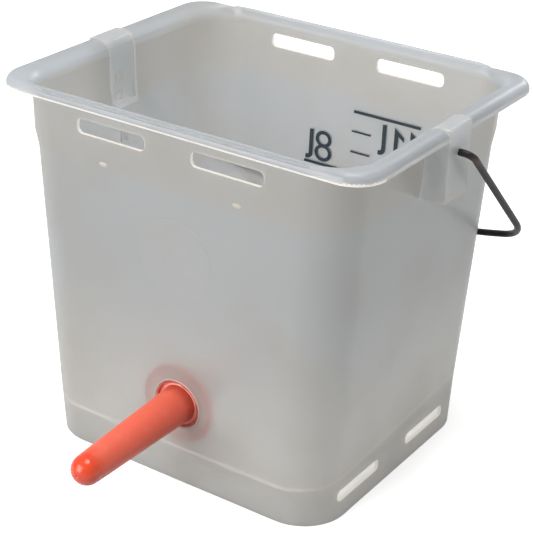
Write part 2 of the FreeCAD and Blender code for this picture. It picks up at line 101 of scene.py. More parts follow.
# How far the characters stand above their line, and below the top line, and how much
# lower than a digit the letter l is.
DIGIT_LIFT, LETTER_LIFT = 2.6 * MM, 2.4 * MM
TOP_DROP = 31.5 * MM
LETTER_DROP = 1.2 * MM

# The moulded scale on the end walls: its litres, how far its numerals and ticks stand from
# the wall's middle, and the size of a tick.
MOULDED_LITRES = range(2, 14)
NUMERAL_X, TICK_X = -4 * MM, 10 * MM
TICK_WIDTH, TICK_HEIGHT = 5 * MM, 0.8 * MM

# The nubs on the teat's wall: how far they stand from its middle, and their height. Then the
# ring round the teat's hole: its radius and half its thickness.
NUB_X, NUB_Z = 57.0 * MM, 244.7 * MM
RING_RADIUS, RING_ROUND = 20.0 * MM, 0.4 * MM

# The lip's lower edge and its corners' radius.
LIP_EDGE = 281.8 * MM
LIP_CORNER = 44.0 * MM

# The bosses that hold the bail: their inner end, half width and underside.
BOSS_INNER = 140.6 * MM
BOSS_HALF = 15.5 * MM
BOSS_LOW = 235.5 * MM

# Share of the light that the milky plastic spreads, and the share of the rest that passes
# through the walls and through the denser slab and edges.
VEIL = 0.3
CLEAR = 0.68
DENSE = 0.3

# What the camera looks at.
CAMERA_TARGET = Vector((18.56, -24.44, 150.21)) * MM

# The teat's axis starts on the outer face of its wall and is square to it.
TEAT_X, TEAT_Z = 4.5 * MM, 69.2 * MM


def linear(hex_colour):
    """Turn an sRGB hex colour into the linear values that a shader takes."""
    values = []
    for start in (1, 3, 5):
        share = int(hex_colour[start:start + 2], 16) / 255
        values.append(share / 12.92 if share <= 0.04045 else ((share + 0.055) / 1.055) ** 2.4)
    return values


def length(name, description, default):
    """A size in metres that a user may change."""
    return FloatProperty(name=name, description=description, default=default, min=0.0,
                         subtype="DISTANCE", unit="LENGTH", precision=5)


def angle(name, description, degrees):
    """An angle that a user may change."""
    return FloatProperty(name=name, description=description, default=math.radians(degrees),
                         subtype="ANGLE", unit="ROTATION")


def colour(name, description, hex_colour):
    """A colour that a user may change."""
    return FloatVectorProperty(name=name, description=description, subtype="COLOR", size=3,
                               min=0.0, max=1.0, default=linear(hex_colour))


class TubSettings(bpy.types.PropertyGroup):
    """Sizes and colours of the moulded tub."""

    edge_round: length("Edge round", "Radius of the moulded edges", 0.9 * MM)
    nub_radius: length("Nub radius", "Radius of the small raised nubs under the slots", 3.6 * MM)
    nub_rise: length("Nub rise", "How far a nub stands out from the wall", 0.5 * MM)
    numeral_height: length("Numeral height", "Height of the moulded numerals", 9.0 * MM)
    numeral_rise: length("Numeral rise", "How far the numerals stand out", 0.3 * MM)
    body_colour: colour("Plastic", "Colour of the milky plastic", "#D5D7D8")
    # Painted light: the band's tint stands in for the light that its tilted face catches.
    band_colour: colour("Rim band", "Colour of the thicker band above the shoulder", "#D6D5D2")
    # Painted light: the low walls are painted paler, for the light that the bright floor throws up.
    deep_colour: colour("Low walls", "Colour of the walls near the bright floor", "#E6E5E2")
    boss_colour: colour("Bosses", "Colour of the double walled bosses", "#EEF0F1")
    # Painted reflection: the lip's bluish tint stands in for the sky that it reflects.
    lip_colour: colour("Lip", "Colour of the lip, which reflects the sky", "#D8DCE0")
    smudge_colour: colour("Smudges", "Colour of the dried film of milk", "#CFC9BF")
    speck_colour: colour("Specks", "Colour of the dirt in the edges", "#C9B79B")
    floor_colour: colour("Floor slab", "Colour of the tub's floor", "#FFFFFF")
    edge_colour: colour("Edges", "Colour where light gathers in the edges", "#F1EBE3")
    edge_glow: FloatProperty(name="Edge glow", description="How strongly light leaves the edges",
                             default=0.4, min=0.0)


class PrintSettings(bpy.types.PropertyGroup):
    """Sizes and colour of the printed litre scale."""

    thick_line: length("Thick line", "Height of the lines that carry a number", 2.4 * MM)
    thin_line: length("Thin line", "Height of the lines between them", 1.5 * MM)
    cap_height: length("Number height", "Height of the printed numbers", 27.0 * MM)
    stroke: length("Stroke", "Width of the strokes of the ones and the letter l", 3.6 * MM)
    ink_thickness: length("Ink", "Thickness of the ink", 0.1 * MM)
    ink_rise: length("Ink rise", "How far the ink stands out from the wall", 0.05 * MM)
    ink_colour: colour("Ink colour", "Colour of the ink", "#26323C")


class TeatSettings(bpy.types.PropertyGroup):
    """Sizes and colours of the teat."""

    segments: IntProperty(name="Segments", description="Facets round the teat", default=48, min=12)
    shank_radius: length("Shank radius", "Radius where the teat leaves the wall", 14.3 * MM)
    tip_radius: length("Tip radius", "Radius of the round tip", 11.4 * MM)
    tip_distance: length("Tip distance", "From the wall to the tip's centre", 101.5 * MM)
    shank_colour: colour("Shank", "Colour of the dulled rubber", "#E9634A")
    tip_colour: colour("Tip", "Colour of the polished tip", "#E2441E")
    # Painted shade: the dark red that the collar's hollows near the wall are painted.
    dirt_colour: colour("Hollows", "Colour of the rubber in the hollows", "#8A1F14")
    # Painted light: the rubber inside the tub is painted paler and pinker, for the light through
    # the wall.
    flange_colour: colour("Flange", "Colour of the rubber inside the tub", "#F26E60")
    neck_colour: colour("Neck", "Colour of the rubber that presses on the wall", "#FFC3B6")
    bloom_colour: colour("Bloom", "Colour of the dull bloom on the rubber", "#E99A86")


class StageSettings(bpy.types.PropertyGroup):
    """Camera, light and floor."""

    azimuth: angle("Azimuth", "Camera's turn round the object", 33.4137)
    elevation: angle("Elevation", "Camera's height above the horizon", 26.279)
    roll: angle("Roll", "Camera's roll", 1.966)
    distance: length("Distance", "From the camera to what it looks at", 1.2116)
    lens: FloatProperty(name="Lens", description="Focal length", default=109.63, unit="CAMERA")
    floor_colour: colour("Floor", "Colour of the floor", "#F4F4F4")
    bounce_colour: colour("Bounce", "Colour of the floor as the undersides see it", "#595959")


# ---- meshes ---------------------------------------------------------------------------------

def deselect():
    """Leave edit mode and select nothing."""
    if bpy.context.object and bpy.context.object.mode != "OBJECT":
        bpy.ops.object.mode_set(mode="OBJECT")
    bpy.ops.object.select_all(action="DESELECT")


def pick(*pieces):
    """Select these pieces only, the first one active."""
    deselect()
    for piece in pieces:
        piece.select_set(True)
    bpy.context.view_layer.objects.active = pieces[0]


def named(name):
    """Name the active object and its mesh."""
    piece = bpy.context.object
    piece.name = name
    piece.data.name = name
    return piece


def put(piece, place):
    """Move a piece to its place and leave its object at the origin."""
    pick(piece)
    piece.matrix_world = place
    bpy.ops.object.transform_apply(location=True, rotation=True, scale=True)


def modify(piece, kind, **settings):
    """Add a modifier and apply it."""
    pick(piece)
    modifier = piece.modifiers.new(kind.lower(), kind)
    for key, setting in settings.items():
        setattr(modifier, key, setting)
    bpy.ops.object.modifier_apply(modifier=modifier.name)


def recalculate(piece):
    """Merge doubles and turn every face outwards."""
    pick(piece)
    bpy.ops.object.mode_set(mode="EDIT")
    bpy.ops.mesh.select_all(action="SELECT")
    bpy.ops.mesh.remove_doubles(threshold=0.001 * MM)
    bpy.ops.mesh.normals_make_consistent(inside=False)
    bpy.ops.object.mode_set(mode="OBJECT")


def smooth(piece, degrees=30):
    """Shade smooth, apart from edges sharper than an angle."""
    pick(piece)
    bpy.ops.object.shade_smooth_by_angle(angle=math.radians(degrees))


def join(name, pieces):
    """Join pieces into one object."""
    pick(*pieces)
    bpy.ops.object.join()
    return named(name)


def finish_piece(piece, material, body=BODY, replaced=()):
    """Give a piece its material and the body that it rides on."""
    if not piece.data.materials:
        piece.data.materials.append(material)
    piece.data.materials[0] = material
    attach(piece, body)
    if replaced:
        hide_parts(*replaced)


def turned(name, outline, segments):
    """Turn an open outline of (radius, height) about Z, from a ring that grows ring by ring."""
    deselect()
    radius, height = outline[0]
    bpy.ops.mesh.primitive_circle_add(vertices=segments, radius=radius, location=(0, 0, height))
    piece = named(name)
    bpy.ops.object.transform_apply(location=True, rotation=True, scale=True)
    bpy.ops.object.mode_set(mode="EDIT")
    bpy.ops.mesh.select_all(action="SELECT")
    for next_radius, next_height in outline[1:]:
        rise = (0, 0, next_height - height)
        bpy.ops.mesh.extrude_region_move(TRANSFORM_OT_translate={"value": rise})
        share = next_radius / radius
        bpy.ops.transform.resize(value=(share, share, 1), center_override=(0, 0, next_height))
        radius, height = next_radius, next_height
    bpy.ops.object.mode_set(mode="OBJECT")
    return piece


def close_ends(piece):
    """Join the first and last rings of a turned outline."""
    pick(piece)
    bpy.ops.object.mode_set(mode="EDIT")
    bpy.ops.mesh.select_mode(type="EDGE")
    bpy.ops.mesh.select_all(action="DESELECT")
    bpy.ops.mesh.select_non_manifold()
    bpy.ops.mesh.bridge_edge_loops()
    bpy.ops.object.mode_set(mode="OBJECT")
    recalculate(piece)


def wall_y(z):
    """How far a long wall's outer face stands from the middle at a height below the shoulder."""
    return FLOOR_LINE.y + (z - FLOOR_LINE.z) * LEAN_Y


def wall_place(x, z, outside):
    """Place on the outer face of a long wall: local X reads rightwards seen from outside.

    Local Y runs up the leaning wall and local Z points out of it. Outside is 1 for the back
    wall, away from the teat, and -1 for the teat's wall.
    """
    lean = math.atan(LEAN_Y)
    y = outside * (wall_y(z) + max(0, z - SHOULDER.z) * COLLAR_LEAN)
    right = Vector((-outside, 0, 0))
    up = Vector((0, outside * math.sin(lean), math.cos(lean)))
    out = right.cross(up)
    return Matrix.Translation((x, y, z)) @ Matrix((right, up, out)).transposed().to_4x4()


def end_wall_place(side, z):
    """Place on the middle of an end wall's inner face, with local Z pointing into the tub."""
    half = FLOOR_LINE.x - WALL + (z - FLOOR_LINE.z) * LEAN_X
    if z > SHOULDER.z:
        half = GROOVE_FACE
    up = Vector((0, 0, 1))
    out = Vector((-side, 0, 0))
    right = up.cross(out)
    return Matrix.Translation((side * half, 0, z)) @ Matrix((right, up, out)).transposed().to_4x4()


# ---- materials ------------------------------------------------------------------------------

def new_material(name):
    """Start a node material. Returns it, its node tree and its Principled shader."""
    material = bpy.data.materials.new(name)
    material.use_nodes = True
    shader = next(n for n in material.node_tree.nodes if n.type == "BSDF_PRINCIPLED")
    return material, material.node_tree, shader


def add(tree, kind, inputs=None, **settings):
    """Add a shader node. An input is a number, a colour or a socket that it is linked to."""
    node = tree.nodes.new("ShaderNode" + kind)
    for key, setting in settings.items():
        setattr(node, key, setting)
    for key, source in (inputs or {}).items():
        if isinstance(source, bpy.types.NodeSocket):
            tree.links.new(source, node.inputs[key])
        else:
            node.inputs[key].default_value = source
    return node


def shade(tree, shader, inputs):
    """Set or link the shader's inputs."""
    for key, source in inputs.items():
        if isinstance(source, bpy.types.NodeSocket):
            tree.links.new(source, shader.inputs[key])
        elif shader.inputs[key].type == "RGBA":
            shader.inputs[key].default_value = opaque(source)
        else:
            shader.inputs[key].default_value = source


def opaque(rgb):
    """A colour with its alpha."""
    return (*rgb, 1.0)


def boss_masks(tree, apart, facing):
    """Masks of the two bosses and of the light that gathers in their outer edges."""
    beside = add(tree, "Math", {0: apart.outputs["Y"]}, operation="ABSOLUTE")
    within = add(tree, "Math", {0: beside.outputs[0], 1: BOSS_HALF + 0.5 * MM},
                 operation="LESS_THAN")
    above = add(tree, "Math", {0: apart.outputs["Z"], 1: BOSS_LOW - 1.5 * MM},
                operation="GREATER_THAN")
    boss = add(tree, "Math", {0: within.outputs[0], 1: above.outputs[0]}, operation="MULTIPLY")
    side_edge = add(tree, "Math", {0: beside.outputs[0], 1: BOSS_HALF, 2: 1.1 * MM},
                    operation="COMPARE")
    sideways = add(tree, "Math", {0: facing.outputs["Y"]}, operation="ABSOLUTE")
    endwise = add(tree, "Math", {0: sideways.outputs[0], 1: 0.9}, operation="LESS_THAN")
    edge_face = add(tree, "Math", {0: side_edge.outputs[0], 1: endwise.outputs[0]},
                    operation="MULTIPLY")
    side_line = add(tree, "Math", {0: edge_face.outputs[0], 1: above.outputs[0]},
                    operation="MULTIPLY")
    low_edge = add(tree, "Math", {0: apart.outputs["Z"], 1: BOSS_LOW, 2: 0.9 * MM},
                   operation="COMPARE")
    low_line = add(tree, "Math", {0: low_edge.outputs[0], 1: within.outputs[0]},
                   operation="MULTIPLY")
    lines = add(tree, "Math", {0: side_line.outputs[0], 1: low_line.outputs[0]},
                operation="MAXIMUM")
    end = add(tree, "Math", {0: apart.outputs["X"]}, operation="ABSOLUTE")
    outside = add(tree, "Math", {0: end.outputs[0], 1: BOSS_INNER}, operation="GREATER_THAN")
    edges = add(tree, "Math", {0: lines.outputs[0], 1: outside.outputs[0]},
                operation="MULTIPLY")
    return boss.outputs[0], edges.outputs[0]


def floor_masks(tree, apart, facing):
    """Masks of the sloping floor slab and of the line on the walls where it joins them."""
    drop = add(tree, "Math", {0: apart.outputs["Y"], 1: -FLOOR_SLOPE,
                                        2: apart.outputs["Z"]}, operation="MULTIPLY_ADD")
    level = add(tree, "Math", {0: drop.outputs[0], 1: FLOOR_MIDDLE}, operation="SUBTRACT")
    away = add(tree, "Math", {0: level.outputs[0]}, operation="ABSOLUTE")
    faded = add(tree, "MapRange", {"Value": away.outputs[0], "From Min": 1.1 * MM,
                                             "From Max": 2.1 * MM, "To Min": 0.75,
                                             "To Max": 0.0})
    steep = add(tree, "Math", {0: facing.outputs["Z"]}, operation="ABSOLUTE")
    upright = add(tree, "Math", {0: steep.outputs[0], 1: 0.5}, operation="LESS_THAN")
    line = add(tree, "Math", {0: faded.outputs[0], 1: upright.outputs[0]}, operation="MULTIPLY")
    near = add(tree, "Math", {0: away.outputs[0], 1: 2 * MM}, operation="LESS_THAN")
    slab = add(tree, "Math", {0: near.outputs[0], 1: upright.outputs[0]},
               operation="SUBTRACT", use_clamp=True)
    return slab.outputs[0], line.outputs[0]


def mould_grain(tree, place):
    """Relief of a fine grain, about 0.6 mm across, and of long faint scratches down the walls.

    The grain of the real mould is finer. It is drawn this coarse so that it shows.
    """
    grain = add(tree, "TexNoise", {"Vector": place, "Scale": 1500.0, "Detail": 2.0})
    stretched = add(tree, "Mapping", {"Vector": place, "Scale": (500.0, 500.0, 14.0),
                                                "Rotation": (0.12, 0.09, 0.0)})
    scratch = add(tree, "TexNoise", {"Vector": stretched.outputs[0], "Scale": 1.0,
                                               "Detail": 2.0})
    scratches = add(tree, "MapRange", {"Value": scratch.outputs[0], "From Min": 0.62,
                                                 "From Max": 0.72})
    relief = add(tree, "Math", {0: scratches.outputs[0], 1: -0.6,
                                          2: grain.outputs[0]}, operation="MULTIPLY_ADD")
    return add(tree, "Bump", {"Height": relief.outputs[0], "Strength": 0.08,
                                        "Distance": 0.1 * MM}).outputs[0]


def polypropylene(settings):
    """Natural polypropylene, injection moulded: milky, lets light through, soft satin gloss."""
    material, tree, shader = new_material("natural_polypropylene_moulded")
    place = add(tree, "TexCoord").outputs["Object"]
    normal = add(tree, "NewGeometry").outputs["Normal"]
    apart = add(tree, "SeparateXYZ", {0: place})
    facing = add(tree, "SeparateXYZ", {0: normal})
    boss, boss_edges = boss_masks(tree, apart, facing)
    slab, floor_line = floor_masks(tree, apart, facing)

    # Painted light: the walls are painted paler towards the bottom, for the light that the bright
    # floor throws up, and the band above the shoulder gets a painted tint, for the light it
    # catches.
    painted_floor_light = add(tree, "MapRange", {"Value": apart.outputs["Z"], "From Min": 190 * MM,
                                            "From Max": 30 * MM}, interpolation_type="SMOOTHSTEP")
    band = add(tree, "MapRange",
               {"Value": apart.outputs["Z"], "From Min": SHOULDER.z - 6 * MM,
                "From Max": SHOULDER.z + 8 * MM}, interpolation_type="SMOOTHSTEP")
    # Painted reflection: the lip is tinted bluish for the sky that it reflects.
    lip = add(tree, "MapRange", {"Value": apart.outputs["Z"],
                                           "From Min": LIP_EDGE - 2.8 * MM,
                                           "From Max": LIP_EDGE + 1.2 * MM})

    # The round mark on the teat's wall is a little thicker.
    from_mark = add(tree, "VectorMath", {0: place, 1: MARK_CENTRE}, operation="DISTANCE")
    mark = add(tree, "MapRange",
               {"Value": from_mark.outputs["Value"], "From Min": MARK_RADIUS + 0.6 * MM,
                "From Max": MARK_RADIUS - 0.6 * MM, "To Max": 0.07})

    # Broad smudges of milk film, about 60 mm across.
    smudge = add(tree, "TexNoise", {"Vector": place, "Scale": 16.0, "Detail": 3.0})
    smudges = add(tree, "MapRange", {"Value": smudge.outputs[0], "From Min": 0.45,
                                               "From Max": 0.75, "To Max": 0.35})

    # Light gathers in the edges and where the floor meets the walls. The plastic passes less
    # light there, and in the wet floor slab.
    glow = add(tree, "Math", {0: floor_line, 1: boss_edges}, operation="MAXIMUM")
    dense = add(tree, "Math", {0: glow.outputs[0], 1: slab}, operation="MAXIMUM")
    clear = add(tree, "MapRange", {"Value": dense.outputs[0], "To Min": CLEAR, "To Max": DENSE})
    tint = opaque(settings.body_colour)
    for mask, paint in ((painted_floor_light.outputs[0], settings.deep_colour),
                        (band.outputs[0], settings.band_colour),
                        (lip.outputs[0], settings.lip_colour), (boss, settings.boss_colour),
                        (mark.outputs[0], settings.edge_colour),
                        (smudges.outputs[0], settings.smudge_colour),
                        (glow.outputs[0], settings.edge_colour), (slab, settings.floor_colour)):
        tint = add(tree, "Mix", {0: mask, 6: tint, 7: opaque(paint)}, data_type="RGBA").outputs[2]
    rough = add(tree, "MapRange", {"Value": smudge.outputs[0], "To Min": 0.3, "To Max": 0.46})
    shade(tree, shader, {"Base Color": tint, "Roughness": rough.outputs[0],
                         "Transmission Weight": clear.outputs[0], "IOR": 1.49,
                         "Coat Weight": 0.35, "Coat Roughness": 0.14,
                         "Normal": mould_grain(tree, place)})
    milk(tree, shader, tint, VEIL)
    return material


def milk(tree, shader, tint, share):
    """Mix in the share of the light that the milky plastic spreads as it passes through."""
    veil = add(tree, "BsdfTranslucent", {"Color": tint})
    mix = add(tree, "MixShader", {0: share, 1: shader.outputs[0], 2: veil.outputs[0]})
    output = next(n for n in tree.nodes if n.type == "OUTPUT_MATERIAL")
    tree.links.new(mix.outputs[0], output.inputs["Surface"])


def polypropylene_edge(settings, name, glow):
    """The same plastic where an edge is rounded or cut: light gathers there, so it looks paler.

    Specks of dirt lie in it, about 4 mm apart.
    """
    material, tree, shader = new_material(name)
    place = add(tree, "TexCoord").outputs["Object"]
    speck = add(tree, "TexNoise", {"Vector": place, "Scale": 260.0, "Detail": 3.0})
    specks = add(tree, "MapRange", {"Value": speck.outputs[0], "From Min": 0.6,
                                              "From Max": 0.75, "To Max": 0.5})
    tint = add(tree, "Mix", {0: specks.outputs[0], 6: opaque(settings.edge_colour),
                             7: opaque(settings.speck_colour)}, data_type="RGBA").outputs[2]
    rough = add(tree, "MapRange", {"Value": speck.outputs[0], "To Min": 0.28, "To Max": 0.45})
    shade(tree, shader, {"Base Color": tint, "Roughness": rough.outputs[0],
                         "Transmission Weight": 0.25, "IOR": 1.49, "Coat Weight": 0.3,
                         "Coat Roughness": 0.15, "Emission Color": settings.edge_colour,
                         "Emission Strength": glow})
    milk(tree, shader, tint, VEIL)
    return material


def printing_ink(settings):
    """Screen printed ink: thin, matt and slightly uneven, in patches about 3 mm across."""
    material, tree, shader = new_material("screen_printed_ink")
    place = add(tree, "TexCoord").outputs["Object"]
    patch = add(tree, "TexNoise", {"Vector": place, "Scale": 320.0, "Detail": 3.0})
    base = add(tree, "Mix", {0: patch.outputs[0], 6: opaque(settings.ink_colour),
                                       7: opaque(linear("#33424E"))}, data_type="RGBA")
    rough = add(tree, "MapRange", {"Value": patch.outputs[0], "To Min": 0.5, "To Max": 0.7})
    shade(tree, shader, {"Base Color": base.outputs[2], "Roughness": rough.outputs[0]})
    return material


def red_rubber(settings):
    """Vulcanised latex rubber: dulled by milk on the shank, polished and redder at the tip.

    The polish ends in waves about 14 mm long, and the film of milk is in patches about 8 mm
    across. The pores, about 1 mm apart, are drawn coarser than they are so that they show.
    """
    material, tree, shader = new_material("red_latex_rubber")
    place = add(tree, "TexCoord").outputs["Object"]
    apart = add(tree, "SeparateXYZ", {0: place})
    tip_y = -(wall_y(TEAT_Z) + settings.tip_distance)
    bend = add(tree, "TexNoise", {"Vector": place, "Scale": 70.0, "Detail": 3.0})
    waver = add(tree, "Math", {0: bend.outputs[0], 1: 5 * MM, 2: apart.outputs["Y"]},
                operation="MULTIPLY_ADD")
    tip = add(tree, "MapRange", {"Value": waver.outputs[0], "From Min": tip_y + 14 * MM,
                                           "From Max": tip_y - 1 * MM},
              interpolation_type="SMOOTHSTEP")
    root = add(tree, "MapRange",
               {"Value": waver.outputs[0], "From Min": -wall_y(TEAT_Z) - 7 * MM,
                "From Max": -wall_y(TEAT_Z) + 2 * MM}, interpolation_type="SMOOTHSTEP")
    film = add(tree, "TexNoise", {"Vector": place, "Scale": 130.0, "Detail": 4.0})
    # Painted shade: near the wall the collar's hollows are painted dark red, in patches.
    patchy = add(tree, "Math", {0: root.outputs[0], 1: film.outputs[0]}, operation="MULTIPLY")

    # Inside the tub the flange is painted pinker, and palest where it presses on the wall: painted
    # light, for the light that reaches the rubber through the milky wall.
    inside = add(tree, "Math", {0: apart.outputs["Y"],
                                          1: -wall_y(TEAT_Z) + 1.8 * MM},
                 operation="GREATER_THAN")
    from_axis = add(tree, "VectorMath",
                    {0: place, 1: (TEAT_X, -wall_y(TEAT_Z), TEAT_Z)}, operation="DISTANCE")
    outer = add(tree, "MapRange", {"Value": from_axis.outputs["Value"],
                                             "From Min": 25.2 * MM, "From Max": 26.6 * MM})
    rim = add(tree, "Math", {0: inside.outputs[0], 1: outer.outputs[0]}, operation="MULTIPLY")
    bloom = add(tree, "MapRange", {"Value": film.outputs[0], "From Min": 0.5,
                                             "From Max": 0.8, "To Max": 0.18})
    tint = opaque(settings.shank_colour)
    for mask, paint in ((tip, settings.tip_colour), (patchy, settings.dirt_colour),
                        (inside, settings.neck_colour), (rim, settings.flange_colour),
                        (bloom, settings.bloom_colour)):
        tint = add(tree, "Mix", {0: mask.outputs[0], 6: tint, 7: opaque(paint)},
                   data_type="RGBA").outputs[2]
    rough = add(tree, "MapRange", {"Value": tip.outputs[0], "To Min": 0.42, "To Max": 0.2})
    fine = add(tree, "TexNoise", {"Vector": place, "Scale": 900.0, "Detail": 3.0})
    bump = add(tree, "Bump", {"Height": fine.outputs[0], "Strength": 0.12,
                                        "Distance": 0.2 * MM})
    shade(tree, shader, {"Base Color": tint, "Roughness": rough.outputs[0],
                         "Normal": bump.outputs[0], "IOR": 1.52, "Specular IOR Level": 0.5,
                         "Subsurface Weight": 0.05, "Subsurface Scale": 2 * MM,
                         "Subsurface Radius": (1.0, 0.25, 0.12)})
    return material


def blackened_steel():
    """Drawn steel wire with a black oxide finish: dark, worn brown where it rubs in the bosses.

    The wear is in patches about 11 mm long. The marks of the drawing die, about 0.8 mm apart,
    are drawn coarser than they are so that they show.
    """
    material, tree, shader = new_material("blackened_steel_wire")
    place = add(tree, "TexCoord").outputs["Object"]
    patch = add(tree, "TexNoise", {"Vector": place, "Scale": 90.0, "Detail": 4.0})
    height = add(tree, "SeparateXYZ", {0: place}).outputs["Z"]
    rubbed = add(tree, "MapRange", {"Value": height, "From Min": 250 * MM,
                                              "From Max": 268 * MM, "To Min": 0.25})
    patchy = add(tree, "MapRange", {"Value": patch.outputs[0], "From Min": 0.42,
                                              "From Max": 0.62})
    worn = add(tree, "Math", {0: patchy.outputs[0], 1: rubbed.outputs[0]}, operation="MULTIPLY")
    base = add(tree, "Mix", {0: worn.outputs[0], 6: opaque(linear("#2A2A2A")),
                                       7: opaque(linear("#4E4640"))}, data_type="RGBA")
    drawn = add(tree, "TexNoise", {"Vector": place, "Scale": 1200.0, "Detail": 2.0})
    bump = add(tree, "Bump", {"Height": drawn.outputs[0], "Strength": 0.15,
                                        "Distance": 0.1 * MM})
    rough = add(tree, "MapRange", {"Value": patch.outputs[0], "To Min": 0.3, "To Max": 0.55})
    shade(tree, shader, {"Base Color": base.outputs[2], "Roughness": rough.outputs[0],
                         "Metallic": 0.85, "Normal": bump.outputs[0]})
    return material


def plain_plastic(name, hex_colour, low, high):
    """A small moulded part: even colour, faint mottling about 4 mm across and a satin face."""
    material, tree, shader = new_material(name)
    place = add(tree, "TexCoord").outputs["Object"]
    patch = add(tree, "TexNoise", {"Vector": place, "Scale": 240.0, "Detail": 3.0})
    base = add(tree, "Mix", {0: patch.outputs[0], 6: opaque(linear(hex_colour)),
                                       7: opaque([0.86 * c for c in linear(hex_colour)])},
               data_type="RGBA")
    rough = add(tree, "MapRange", {"Value": patch.outputs[0], "To Min": low, "To Max": high})
    shade(tree, shader, {"Base Color": base.outputs[2], "Roughness": rough.outputs[0]})
    return material


# ---- pieces ---------------------------------------------------------------------------------

class BUCKET_OT_tub(bpy.types.Operator):
    """Round the moulded tub's edges and give it its plastic"""

    bl_idname = "bucket.tub"
    bl_label = "Tub"

    def execute(self, context):
        settings = context.scene.bucket_tub
        deselect()
        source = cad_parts["bucket_shell"]
        tub = source.copy()
        tub.data = source.data.copy()
        tub.parent = None
        for key in list(tub.keys()):
            del tub[key]
        context.scene.collection.objects.link(tub)
        pick(tub)
        named("tub_moulding")
        bpy.ops.mesh.customdata_custom_splitnormals_clear()
        bpy.ops.object.mode_set(mode="EDIT")
        bpy.ops.mesh.select_all(action="SELECT")
        bpy.ops.mesh.remove_doubles(threshold=0.01 * MM)
        bpy.ops.mesh.dissolve_limited(angle_limit=math.radians(0.5))
        bpy.ops.object.mode_set(mode="OBJECT")
        tub.data.materials.clear()
        tub.data.materials.append(polypropylene(settings))
        tub.data.materials.append(
            polypropylene_edge(settings, "natural_polypropylene_edge", settings.edge_glow))
        self.mark_cut_faces(tub)
        modify(tub, "BEVEL", width=settings.edge_round, segments=2, limit_method="ANGLE",
               angle_limit=math.radians(35), material=1, harden_normals=False)
        smooth(tub)
        modify(tub, "WEIGHTED_NORMAL", keep_sharp=True, weight=60)
        finish_piece(tub, tub.data.materials[0],
                     replaced=("bucket_shell",))
        return {"FINISHED"}

    @staticmethod
    def mark_cut_faces(tub):
        """The faces inside the slots and the lip's lower edge take the paler material."""
        for face in tub.data.polygons:
            centre, normal = face.center, face.normal
            for height, reach in SLOT_HEIGHTS:
                along_y = height > SHOULDER.z
                across = normal.y if along_y else normal.x
                if abs(centre.z - height) < reach and abs(across) < 0.3:
                    outer = abs(centre.y) > 0.9 * SHOULDER.y if along_y else (
                        abs(centre.x) > 0.95 * FLOOR_LINE.x)
                    if outer:
                        face.material_index = 1
            low = LIP_EDGE - 0.1 * MM < centre.z < LIP_EDGE + 1.6 * MM
            beyond = Vector((max(abs(centre.x) - TUB_HIGH.x + LIP_CORNER, 0),
                             max(abs(centre.y) - TUB_HIGH.y + LIP_CORNER, 0)))
            if low and abs(normal.z) < 0.5 and beyond.length > LIP_CORNER - 3 * MM:
                face.material_index = 1


class BUCKET_OT_moulded_scale(bpy.types.Operator):
    """Raise the scale on the end walls, and the nubs and the hole's ring on the teat's wall"""

    bl_idname = "bucket.moulded_scale"
    bl_label = "Moulded scale"

    def execute(self, context):
        settings = context.scene.bucket_tub
        material = polypropylene_edge(settings, "natural_polypropylene_raised", 0.0)
        pieces = []
        for side in (-1, 1):
            for litre in MOULDED_LITRES:
                z = litre_height(litre)
                pieces.append(raised_number(str(litre), settings, end_wall_place(side, z)))
                pieces.append(raised_tick(settings, end_wall_place(side, z)))
        scale = join("moulded_scale", pieces)
        finish_piece(scale, material)
        nubs = []
        for x in (-NUB_X, NUB_X):
            nubs.append(raised_nub(settings, wall_place(x, NUB_Z, -1)))
        nubs.append(hole_ring(wall_place(TEAT_X, TEAT_Z, -1)))
        nub = join("wall_nubs", nubs)
        smooth(nub)
        finish_piece(nub, material)
        return {"FINISHED"}


def litre_height(litre):
    """Height of a litre's line. The tub widens upwards, so the lines draw closer together."""
    more = litre - 8
    return EIGHT_LITRES + LITRE_STEP * more - LITRE_CLOSING * more * more


def written(body, height, thickness, swell=0.0):
    """Write a text of a cap height as a thin solid on the XY plane, its outline let out or in."""
    deselect()
    bpy.ops.object.text_add()
    text = bpy.context.object
    text.data.body = body
    text.data.align_x = "CENTER"
    text.data.size = height / 0.7
    text.data.extrude = thickness / 2
    text.data.offset = swell
    text.data.resolution_u = 4
    bpy.ops.object.convert(target="MESH")
    recalculate(bpy.context.object)
    return bpy.context.object


def raised_number(body, settings, place):
    """One moulded numeral."""
    piece = written(body, settings.numeral_height, settings.numeral_rise)
    put(piece, place @ Matrix.Translation((NUMERAL_X, -settings.numeral_height / 2, 0)))
    return piece


def bar(width, height, thickness):
    """A thin bar with softened corners on the XY plane."""
    deselect()
    bpy.ops.mesh.primitive_cube_add(size=1)
    piece = bpy.context.object
    piece.scale = (width, height, thickness)
    bpy.ops.object.transform_apply(location=True, rotation=True, scale=True)
    modify(piece, "BEVEL", width=min(height, thickness) * 0.3, segments=2)
    return piece


def raised_tick(settings, place):
    """One moulded tick at the edge of the groove."""
    piece = bar(TICK_WIDTH, TICK_HEIGHT, settings.numeral_rise)
    put(piece, place @ Matrix.Translation((TICK_X, 0, 0)))
    return piece


def raised_nub(settings, place):
    """A small flat dome."""
    deselect()
    bpy.ops.mesh.primitive_uv_sphere_add(segments=24, ring_count=12, radius=settings.nub_radius)
    piece = bpy.context.object
    piece.scale = (1, 0.55, settings.nub_rise / settings.nub_radius)
    bpy.ops.object.transform_apply(location=True, rotation=True, scale=True)
    put(piece, place)
    return piece


def hole_ring(place):
    """The thin raised edge of the teat's hole."""
    deselect()
    bpy.ops.mesh.primitive_torus_add(major_segments=64, minor_segments=8,
                                     major_radius=RING_RADIUS, minor_radius=RING_ROUND)
    piece = bpy.context.object
    put(piece, place)
    return piece


